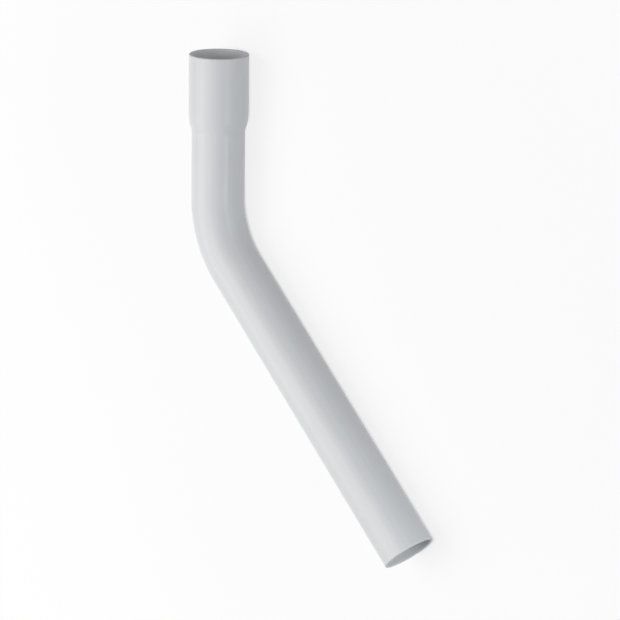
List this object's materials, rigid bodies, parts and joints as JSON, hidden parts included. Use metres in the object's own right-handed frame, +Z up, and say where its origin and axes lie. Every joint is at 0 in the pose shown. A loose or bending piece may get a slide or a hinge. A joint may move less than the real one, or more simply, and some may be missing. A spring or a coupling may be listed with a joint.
{
  "type": "flush pipe",
  "caption": "White plastic flush pipe with a long straight lower leg, a gentle bend and a short upper leg that ends in a belled socket; it carries water from a cistern to a toilet pan.",
  "frame": {"origin": "on the floor, under the middle of the pipe's box as it lies", "axes": "+X along the lower leg towards its open spigot end, +Y to the side that the bend turns the upper leg to, +Z up from the floor that the pipe lies on"},
  "size_m": [0.4378, 0.1474, 0.0504],
  "materials": {
    "white_plastic": "satin white plastic, as extruded"
  },
  "bodies": {
    "root": {"flush_pipe": "white_plastic"}
  },
  "joints": []
}
